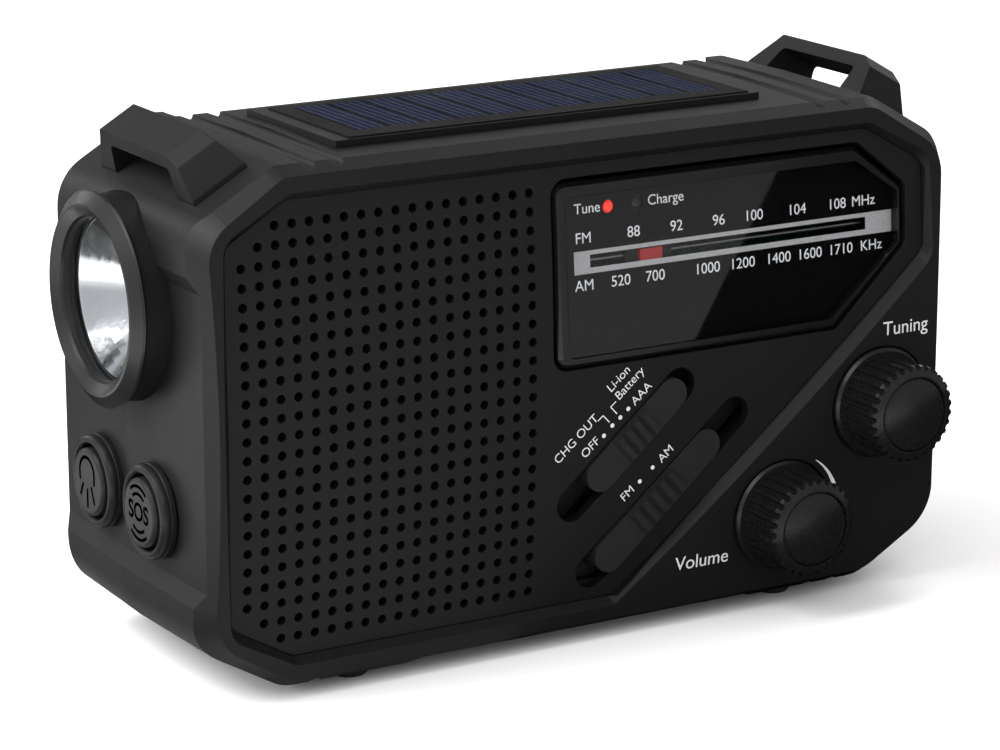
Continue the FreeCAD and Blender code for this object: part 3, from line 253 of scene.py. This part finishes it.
def solar_cells(name):
    """Blue-black cell strips: fine pale lines from front to back, dark bars and a grey border."""
    g = Graph(name)
    x, y, z = g.axes()
    left, right, front, rear = -40.2 * MM, 37.2 * MM, -15.8 * MM, 7.9 * MM
    strips, lines, bar_end, next_bar = 11, 4, 0.07, 0.95
    along = g.math("DIVIDE", g.math("SUBTRACT", x, left), (right - left) / strips)
    share = g.math("FRACT", along)
    inside = g.math("MULTIPLY", g.band(x, left, right), g.band(y, front, rear))
    bar = g.math("SUBTRACT", 1.0, g.band(share, bar_end, next_bar))
    fine = g.math("FRACT", g.math("MULTIPLY", g.math("SUBTRACT", share, bar_end),
                                  lines / (next_bar - bar_end)))
    line = g.math("MULTIPLY", g.band(fine, 0.43, 0.57), g.math("SUBTRACT", 1.0, bar))
    crystal = g.noise(260.0, 4.0)
    blue = g.mix(crystal, (0.003, 0.004, 0.011, 1), (0.005, 0.008, 0.022, 1))
    with_bar = g.mix(bar, blue, (0.002, 0.002, 0.003, 1))
    with_line = g.mix(line, with_bar, (0.035, 0.045, 0.08, 1))
    border = g.mix(g.noise(500.0), grey(0.008), grey(0.013))
    colour = g.mix(inside, border, with_line)
    rough = g.spread(g.noise(90.0, 4.0), 0.3, 0.7, 0.24, 0.36)
    g.surface(colour, rough, g.soft_edge(0.3 * MM), Specular_IOR_Level=0.004)
    return g.material


def printed(name, value, shine=0.5):
    """Pad-printed ink: slightly uneven in tone, with a faint edge break-up."""
    g = Graph(name)
    patch = g.noise(2200.0, 4.0)
    colour = g.mix(g.spread(patch, 0.35, 0.7, 0, 1), grey(value * 0.8), grey(value))
    g.surface(colour, 0.55, g.bump(patch, 0.01 * MM), Specular_IOR_Level=shine)
    return g.material


def pointer_flag(name, left, right):
    """Red flag in the window, dark carriage to both sides of it; the flag glows faintly, a painted
    glow, since the pointer is no lamp.
    """
    g = Graph(name)
    x, y, z = g.axes()
    flag = g.band(x, left * MM, right * MM)
    red = g.mix(g.noise(500.0, 3.0), (0.2, 0.006, 0.008, 1), (0.27, 0.012, 0.012, 1))
    # The flag's faint emission is painted glow: the pointer itself gives no light.
    g.surface(g.mix(flag, (0.004, 0.004, 0.004, 1), red), 0.35, None, Emission_Color=red,
              Emission_Strength=g.math("MULTIPLY", flag, 0.1))
    return g.material


def twin_lamps(name, split):
    """Both lamp lenses in one piece: red and lit left of the split, dark to the right of it."""
    g = Graph(name)
    x, y, z = g.axes()
    lit = g.math("LESS_THAN", x, split * MM)
    depth = g.noise(500.0, 3.0)
    red = g.mix(depth, (0.75, 0.02, 0.015, 1), (0.95, 0.05, 0.03, 1))
    tone = g.mix(lit, (0.012, 0.009, 0.009, 1), red)
    glow = g.math("MULTIPLY", lit, g.spread(x, (split - 4) * MM, split * MM, 0.7, 0.1))
    g.surface(tone, 0.25, None, Emission_Color=red, Emission_Strength=glow)
    return g.material


CASE = plastic("case_plastic", 0.0062, 0.5, 0.42, 0.035)
PANEL = plastic("panel_plastic", 0.0055, 0.5, 0.36, 0.02)
SATIN = plastic("satin_plastic", 0.008, 0.36, 0.6, 0.008)
GLOSS = plastic("gloss_plastic", 0.004, 0.2, 0.9, 0.003, coat=0.2, shine=0.4)
KNOB = plastic("knob_plastic", 0.006, 0.28, 0.5, 0.0006, edge=0, shine=0.6)
SLIDER = plastic("slider_plastic", 0.012, 0.4, 0.5, 0.003, edge=0.08)
TORCH_RIM = plastic("torch_rim_plastic", 0.006, 0.34, 0.5, 0.003, edge=0.15, shine=0.4)
SCALE = plastic("scale_plastic", 0.002, 0.6, 0.3, 0.001, edge=0, shine=0.05)
NYLON = plastic("nylon", 0.62, 0.5, 0.5, 0.02, shine=0.5)
RUBBER = rubber("rubber", 0.009)
STEEL = metal("steel", (0.55, 0.55, 0.56), 0.32)
CHROME = metal("chrome", (0.82, 0.83, 0.85), 0.12, scratch=0.2, edge=1.2)
MIRROR = metal("reflector", (0.95, 0.95, 0.96), 0.14, scratch=0.1)
COPPER = metal("copper", (0.62, 0.3, 0.14), 0.3)
DARK_METAL = metal("dark_metal", (0.05, 0.05, 0.055), 0.5)
DIAL_LENS = clear_lens("dial_lens_clear", (0.97, 0.975, 0.98, 1), 0.01)
TORCH_LENS = clear_lens("torch_lens_clear", (0.97, 0.98, 0.985, 1), 0.02)
BOARD = circuit_board("circuit_board")
CLOTH = woven("grille_cloth_weave", 0.006, 0.5)
CONE = paper_cone("paper_cone")
BLUE_CELL = sleeve("cell_sleeve_blue", (0.03, 0.09, 0.36), (0.7, 0.7, 0.7), -64, -58)
GREY_CELL = sleeve("cell_sleeve_grey", (0.05, 0.05, 0.06), (0.2, 0.2, 0.22), -34, -22)
SOLAR = solar_cells("solar_cells")
FLAG_HALF_WIDTH = 2.4
POINTER = pointer_flag("pointer_red", middle("dial_pointer").x - FLAG_HALF_WIDTH,
                       middle("dial_pointer").x + FLAG_HALF_WIDTH)
LAMPS = twin_lamps("indicator_lamps", middle("indicator_lamps").x)
INK = printed("legend_ink", 0.62)
GREY_INK = printed("scale_ink", 0.27)
DARK_INK = printed("icon_ink", 0.0004, shine=0.0)
BUTTON = plastic("button_plastic", 0.011, 0.42, 0.6, 0.006)

LOOKS = {
    "front_shell": CASE, "rear_shell": CASE, "solar_tray": CASE, "strap_loop_left": CASE,
    "strap_loop_right": CASE, "battery_door": CASE, "crank_arm": CASE,
    "front_panel": PANEL, "torch_barrel": PANEL, "board_parts": PANEL,
    "dial_bezel": GLOSS, "torch_bezel": TORCH_RIM, "button_collars": SATIN, "crank_grip": SATIN,
    "power_slider": SLIDER, "band_slider": SLIDER, "volume_knob": KNOB, "tuning_knob": KNOB,
    "sos_button": BUTTON, "torch_button": BUTTON, "dial_scale": SCALE,
    "tuning_capacitor": NYLON, "dial_drum": NYLON, "torch_lamp": NYLON, "drive_gear": NYLON,
    "port_flap": RUBBER, "rubber_feet": RUBBER,
    "pointer_rail": STEEL, "volume_control": STEEL, "grip_core": STEEL, "slide_switches": STEEL,
    "generator_rotor": STEEL, "generator_case": STEEL, "battery_contacts": STEEL,
    "speaker_frame": STEEL, "usb_a_socket": STEEL, "usb_c_socket": STEEL, "case_screws": STEEL,
    "aerial_base": CHROME, "aerial_tube": CHROME, "aerial_section_2": CHROME,
    "aerial_section_3": CHROME, "aerial_section_4": CHROME, "aerial_tip": CHROME,
    "torch_reflector": MIRROR, "aerial_coil": COPPER, "speaker_magnet": DARK_METAL,
    "ferrite_rod": DARK_METAL, "dial_lens": DIAL_LENS, "torch_lens": TORCH_LENS,
    "main_board": BOARD, "button_board": BOARD, "port_board": BOARD, "grille_cloth": CLOTH,
    "speaker_cone": CONE, "battery_cell": BLUE_CELL, "aaa_cells": GREY_CELL,
    "solar_panel": SOLAR, "dial_pointer": POINTER, "indicator_lamps": LAMPS,
}


def dress_frame():
    """Give every CAD node its material."""
    for name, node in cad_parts.items():
        node.data.materials.clear()
        node.data.materials.append(LOOKS[name])


# ---------------------------------------------------------------- surfaces to print on

def crown_place(x, z, radius):
    """Matrix of a spot on a crowned front: local X right, local Y up, local Z outwards."""
    lean = math.asin((z - CROWN_Z) / radius)
    y = CROWN_Y - (radius + INK_LIFT) * math.cos(lean)
    spot = Vector((x, y, CROWN_Z + (radius + INK_LIFT) * math.sin(lean))) * MM
    return Matrix.Translation(spot) @ Matrix.Rotation(math.pi / 2 - lean, 4, "X")


def panel_place(x, z):
    """Spot on the sunken panel."""
    return crown_place(x, z, PANEL_RADIUS)


def rim_place(x, z):
    """Spot on the case's own front, outside the panel."""
    return crown_place(x, z, RIM_RADIUS)


def dial_place(x, z, depth=SCALE_DEPTH):
    """The same for the leaning scale plate behind the lens."""
    up = (z - DIAL_BASE) / math.cos(DIAL_LEAN)
    y = DIAL_Y + depth * math.cos(DIAL_LEAN) + up * math.sin(DIAL_LEAN)
    spot = Vector((x, y, z)) * MM
    return Matrix.Translation(spot) @ Matrix.Rotation(math.pi / 2 - DIAL_LEAN, 4, "X")


def side_place(y, z, depth):
    """The same for the left end: local X towards the front, local Y up, local Z outwards."""
    turn = Matrix(((0, 0, -1), (-1, 0, 0), (0, 1, 0))).to_4x4()
    return Matrix.Translation(Vector((depth, y, z)) * MM) @ turn


def fasten(thing, body):
    """Add a finished piece to the scene, riding on a body."""
    bpy.context.scene.collection.objects.link(thing)
    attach(thing, body)
    return thing


def legend(name, words, place, height, turn=0.0, ink=INK, weight=0.0, body="case"):
    """Printed words whose capitals are height mm tall."""
    curve = bpy.data.curves.new(name, "FONT")
    curve.body = words
    curve.align_x = "CENTER"
    curve.align_y = "CENTER"
    curve.size = height * MM / 0.70
    curve.offset = weight * MM
    curve.extrude = 0.012 * MM
    curve.materials.append(ink)
    thing = bpy.data.objects.new(name, curve)
    thing.matrix_world = place @ Matrix.Rotation(math.radians(turn), 4, "Z")
    return fasten(thing, body)


def flat_shape(name, outlines, place, ink, body="case"):
    """Thin printed shapes from outlines of (x, y) points in mm, drawn in the place's plane."""
    vertices, faces = [], []
    for outline in outlines:
        count, start = len(outline), len(vertices)
        vertices += [place @ Vector((x * MM, y * MM, 0)) for x, y in outline]
        vertices += [place @ Vector((x * MM, y * MM, INK_THICK * MM)) for x, y in outline]
        faces.append(list(range(start, start + count))[::-1])
        faces.append(list(range(start + count, start + 2 * count)))
        for i in range(count):
            j = (i + 1) % count
            faces.append([start + i, start + j, start + count + j, start + count + i])
    mesh = bpy.data.meshes.new(name)
    mesh.from_pydata(vertices, [], faces)
    mesh.materials.append(ink)
    return fasten(bpy.data.objects.new(name, mesh), body)


def disc(x, y, radius, count=20):
    """Printed dot."""
    return [(x + radius * math.cos(2 * math.pi * i / count),
             y + radius * math.sin(2 * math.pi * i / count)) for i in range(count)]


def bar(start, end, wide):
    """Straight printed line between two points."""
    (ax, ay), (bx, by) = start, end
    run = math.hypot(bx - ax, by - ay)
    ox, oy = -(by - ay) / run * wide / 2, (bx - ax) / run * wide / 2
    return [(ax + ox, ay + oy), (ax - ox, ay - oy), (bx - ox, by - oy), (bx + ox, by + oy)]


def arc_band(x, y, radius, start, end, wide, count=24):
    """Printed arc between two angles in degrees, anticlockwise."""
    edges = []
    for reach in (radius + wide / 2, radius - wide / 2):
        edges.append([(x + reach * math.cos(math.radians(start + (end - start) * i / count)),
                       y + reach * math.sin(math.radians(start + (end - start) * i / count)))
                      for i in range(count + 1)])
    return edges[0] + edges[1][::-1]


# Words of the dial and their middles along it, in mm from the dial's own zero.
FM_ROW = [("88", 9.35), ("92", 18.7), ("96", 28.05), ("100", 35.9), ("104", 45.7), ("108", 54.9)]
AM_ROW = [("520", 6.3), ("700", 13.8), ("1000", 25.3), ("1200", 33.15), ("1400", 41.3),
          ("1600", 48.45), ("1710", 55.6)]
DIAL_SHIFT_X, DIAL_SHIFT_Z = 1.35, -0.7


def dial_spot(x, z):
    """Spot on the scale plate in the dial's own measure."""
    return dial_place(x + DIAL_SHIFT_X, z + DIAL_SHIFT_Z)


def dial_legends():
    """Both rows of the tuning scale and the names of the two lamps."""
    rows = [("fm", 76.9, [("FM", -1.5)] + FM_ROW + [("MHz", 61.0)]),
            ("am", 68.2, [("AM", -1.5)] + AM_ROW + [("KHz", 62.7)])]
    for tag, z, marks in rows:
        for word, x in marks:
            legend("mark_%s_%s" % (tag, word), word, dial_spot(x, z), 2.0)
    legend("mark_tune", "Tune", dial_spot(-0.5, 82.3), 1.9)
    legend("mark_charge", "Charge", dial_spot(16.5, 82.3), 1.9)


def scale_frame():
    """Pale frame round the pointer's window, as four filled bars."""
    left, right, low, high = -3.6, 67.5, -2.15, 2.1
    window_left, window_right, window_low, window_high = -0.2, 61.4, -1.1, 1.3
    bars = [(left, right, low, window_low), (left, right, window_high, high),
            (left, window_left, window_low, window_high),
            (window_right, right, window_low, window_high)]
    outlines = [[(x0, z0), (x1, z0), (x1, z1), (x0, z1)] for x0, x1, z0, z1 in bars]
    flat_shape("scale_frame", outlines, dial_spot(0, 72.5), GREY_INK)


# Stops of the sliders on the panel: places of the dots and of the words beside them, in mm.
POWER_DOTS = [(2.45, 39.5), (4.25, 41.2), (5.95, 42.5), (7.65, 43.9)]
POWER_WORDS = [("OFF", -0.4, 37.6), ("CHG OUT", -3.5, 39.7), ("Li-ion", 5.5, 49.9),
               ("Battery", 7.9, 48.7), ("AAA", 10.5, 46.4)]
LEADER_LINES = [[(1.1, 42.5), (2.2, 43.4), (3.6, 41.9)], [(5.2, 43.3), (3.8, 44.8), (4.95, 45.7)]]
BAND_DOTS = [(10.6, 29.4), (13.35, 31.7)]
BAND_WORDS = [("FM", 8.0, 27.4), ("AM", 16.2, 33.95)]


def slider_legends():
    """Words, dots and leader lines beside the two sliders."""
    for word, x, z in POWER_WORDS + BAND_WORDS:
        legend("stop_%s" % word.replace(" ", "_"), word, panel_place(x, z), 1.75,
               turn=SLIDER_ANGLE, weight=-0.012)
    for i, (x, z) in enumerate(POWER_DOTS + BAND_DOTS):
        flat_shape("stop_dot_%d" % i, [disc(0, 0, 0.42)], panel_place(x, z), INK)
    for i, points in enumerate(LEADER_LINES):
        x, z = points[1]
        near = [(px - x, pz - z) for px, pz in points]
        flat_shape("leader_line_%d" % i, [bar(near[0], near[1], 0.2), bar(near[1], near[2], 0.2)],
                   panel_place(x, z), INK)


def knob_legends():
    """Names of the knobs, and the wedge that grows round the volume knob."""
    legend("word_volume", "Volume", rim_place(24.2, 12.0), 2.7)
    legend("word_tuning", "Tuning", rim_place(69.1, 51.9), 2.7)
    steps, inside, thin, growth, start, sweep_angle = 24, 12.15, 0.13, 0.75, 54, 35
    outer, inner = [], []
    for i in range(steps + 1):
        share = i / steps
        angle = math.radians(start - sweep_angle * share)
        outside = inside + thin + growth * share
        outer.append((outside * math.cos(angle), outside * math.sin(angle)))
        inner.append((inside * math.cos(angle), inside * math.sin(angle)))
    knob = middle("volume_knob")
    flat_shape("volume_wedge", [outer + inner[::-1]], rim_place(knob.x, knob.z), INK)


def button_place(node):
    """Middle of a side button's face."""
    spot = middle(node)
    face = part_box(node)[0][0] / MM
    return side_place(spot.y, spot.z, face - INK_THICK)


def button_icons():
    """A lamp with rays on one button, a call sign between sound waves on the other."""
    lamp = [arc_band(0, 1.6, 3.1, -5, 185, 0.65)]
    lamp += [bar((-3.1, 1.8), (-3.0, -0.1), 0.65), bar((3.1, 1.8), (3.0, -0.1), 0.65),
             bar((-1.7, -0.5), (-3.0, -3.0), 0.65), bar((0, -1.2), (0, -4.8), 0.65),
             bar((1.7, -0.5), (3.0, -3.6), 0.65)]
    flat_shape("lamp_icon", lamp, button_place("torch_button"), DARK_INK, "torch_push")
    waves = [arc_band(0, 0, radius, start, start + 80, 0.6)
             for radius in (3.5, 4.9) for start in (50, 230)]
    place = button_place("sos_button")
    flat_shape("wave_icon", waves, place, DARK_INK, "sos_push")
    legend("sos_letters", "SOS", place, 3.3, ink=DARK_INK, weight=0.1, body="sos_push")


# ---------------------------------------------------------------- stage

CAMERA_SPOT = Vector((-338.9, -570.4, 224.4)) * MM
CAMERA_TURN = math.radians(-30.64)
CAMERA_DIP = math.radians(15.21)
TORCH_SPOT = Vector((-80.0, -1.0, 69.7)) * MM


def area_light(name, spot, aim, size, power):
    """White sheet of light at a spot, turned towards an aim."""
    lamp = bpy.data.lights.new(name, "AREA")
    lamp.shape = "RECTANGLE"
    lamp.size, lamp.size_y = size
    lamp.energy = power
    thing = bpy.data.objects.new(name, lamp)
    bpy.context.scene.collection.objects.link(thing)
    thing.location = spot
    thing.rotation_euler = (Vector(aim) - Vector(spot)).to_track_quat("-Z", "Y").to_euler()


def floor_in_torch(g):
    """Tone of the floor in glossy rays: a dark ring, then a white one, seen by the reflector."""
    spot = g.add("NewGeometry").outputs["Position"]
    reach = g.add("VectorMath", {0: spot, 1: (TORCH_SPOT.x, TORCH_SPOT.y, 0)},
                  operation="DISTANCE").outputs["Value"]
    x = g.add("SeparateXYZ", {0: spot}).outputs[0]
    left = g.math("LESS_THAN", x, -0.09)
    dark = g.math("MULTIPLY", left, g.band(reach, 0.0, 0.085))
    white = g.math("MULTIPLY", left, g.band(reach, 0.085, 0.26))
    tone = g.mix(white, (0.34, 0.34, 0.34, 1), (0.8, 0.8, 0.8, 1))
    return g.mix(dark, tone, (0.04, 0.04, 0.04, 1))


def torch_card(name, low, high, azimuth, spread, tone):
    """Curved card between two elevations round the torch, seen in its reflector only."""
    reach, steps = 0.42, 10
    vertices = []
    for i in range(steps + 1):
        turn = math.radians(azimuth - spread + 2 * spread * i / steps)
        for rise in (math.radians(low), math.radians(high)):
            ray = Vector((math.cos(turn) * math.cos(rise), math.sin(turn) * math.cos(rise),
                          math.sin(rise)))
            vertices.append(TORCH_SPOT + ray * reach)
    faces = [(2 * i, 2 * i + 1, 2 * i + 3, 2 * i + 2) for i in range(steps)]
    mesh = bpy.data.meshes.new(name)
    mesh.from_pydata(vertices, [], faces)
    g = Graph(name)
    glow = g.add("Emission", {0: g.mix(g.noise(8.0), grey(tone * 0.9), grey(tone)), 1: 1.0})
    g.tree.links.new(glow.outputs[0], g.output.inputs[0])
    mesh.materials.append(g.material)
    card = bpy.data.objects.new(name, mesh)
    bpy.context.scene.collection.objects.link(card)
    card.visible_camera = card.visible_diffuse = card.visible_shadow = False


def sweep():
    """Pale floor that curves up behind the set; gloss sees it darker, so blacks stay black."""
    g = Graph("pale_floor")
    tone = g.mix(g.noise(6.0, 4.0), (0.9, 0.9, 0.9, 1), (0.94, 0.94, 0.94, 1))
    gloss = g.add("LightPath").outputs["Is Glossy Ray"]
    g.surface(g.mix(gloss, tone, floor_in_torch(g)), 0.8, Specular_IOR_Level=0.1)
    wide, deep, bend, rise = 6.0, 2.2, 0.8, 3.0
    profile = [(-3.0, 0.0), (deep, 0.0)]
    for i in range(1, 13):
        angle = math.radians(90 * i / 12)
        profile.append((deep + bend * math.sin(angle), bend - bend * math.cos(angle)))
    profile.append((deep + bend, rise))
    vertices = [(side * wide, y, z) for y, z in profile for side in (-1, 1)]
    faces = [(2 * i, 2 * i + 1, 2 * i + 3, 2 * i + 2) for i in range(len(profile) - 1)]
    mesh = bpy.data.meshes.new("sweep")
    mesh.from_pydata(vertices, [], faces)
    mesh.materials.append(g.material)
    for polygon in mesh.polygons:
        polygon.use_smooth = True
    floor = bpy.data.objects.new("sweep", mesh)
    bpy.context.scene.collection.objects.link(floor)
    floor.rotation_euler[2] = CAMERA_TURN


def studio_world():
    """Even white surroundings, dimmer in glossy rays."""
    plain, glossy = 1.05, 0.26
    world = bpy.data.worlds.new("studio")
    world.use_nodes = True
    tree = world.node_tree
    path = tree.nodes.new("ShaderNodeLightPath")
    strength = tree.nodes.new("ShaderNodeMapRange")
    strength.inputs[3].default_value = plain
    strength.inputs[4].default_value = glossy
    sky = tree.nodes["Background"]
    sky.inputs[0].default_value = (1, 1, 1, 1)
    tree.links.new(path.outputs["Is Glossy Ray"], strength.inputs[0])
    tree.links.new(strength.outputs[0], sky.inputs[1])
    bpy.context.scene.world = world


def seen_in_dial(x, z):
    """Where on the floor the camera looks, in metres, when it looks into the dial lens."""
    spot = dial_place(x, z, 0).translation
    sight = (spot - CAMERA_SPOT).normalized()
    normal = Vector((0, -math.cos(DIAL_LEAN), math.sin(DIAL_LEAN)))
    away = sight.reflect(normal)
    return spot - away * (spot.z / away.z)


def dial_card():
    """Black card on the floor that darkens the right part of the reflection in the lens."""
    top, foot = seen_in_dial(42.0, 84.4), seen_in_dial(22.9, 55.0)
    edge = (top - foot).normalized()
    across = Vector((edge.y, -edge.x, 0))
    if across.x < 0:
        across.negate()
    corners = [foot - edge, foot - edge + across * 1.5, top + edge + across * 1.5, top + edge]
    mesh = bpy.data.meshes.new("dial_card")
    mesh.from_pydata([(c.x, c.y, 0.001) for c in corners], [], [(0, 1, 2, 3)])
    g = Graph("black_card")
    g.surface(g.mix(g.noise(30.0), grey(0.001), grey(0.003)), 0.9, Specular_IOR_Level=0.0)
    mesh.materials.append(g.material)
    card = bpy.data.objects.new("dial_card", mesh)
    bpy.context.scene.collection.objects.link(card)
    card.visible_camera = False
    card.visible_diffuse = False
    card.visible_shadow = False


def camera():
    """Camera at the front left, a little above the radio."""
    lens = bpy.data.cameras.new("camera")
    lens.lens = 130.3
    lens.sensor_width = 36.0
    lens.clip_start = 0.02
    thing = bpy.data.objects.new("camera", lens)
    bpy.context.scene.collection.objects.link(thing)
    thing.location = CAMERA_SPOT
    thing.rotation_euler = (math.radians(90) - CAMERA_DIP, 0, CAMERA_TURN)
    bpy.context.scene.camera = thing


def lights():
    """Key from the upper left and soft sheets round the radio."""
    centre = (0, 0, 0.05)
    area_light("key", (-0.8, 0.1, 0.95), centre, (0.6, 0.6), 15)
    area_light("left_sheet", (-1.2, 0.3, 0.5), centre, (1.2, 0.7), 9)
    area_light("front_fill", (-0.6, -1.1, 1.2), centre, (1.0, 0.8), 4.5)
    area_light("rear_fill", (-0.8, 1.3, 0.5), centre, (1.2, 0.6), 4)
    area_light("floor_fill", (1.5, 0.9, 1.2), (0.7, 0.4, 0), (0.8, 0.8), 7)


dress_frame()
dial_legends()
scale_frame()
slider_legends()
knob_legends()
button_icons()
sweep()
studio_world()
dial_card()
torch_card("torch_card_pale", -8, 38, 172, 62, 0.6)
torch_card("torch_card_dark", 39, 78, 160, 75, 0.02)
lights()
camera()
bpy.context.scene.view_settings.view_transform = "Standard"
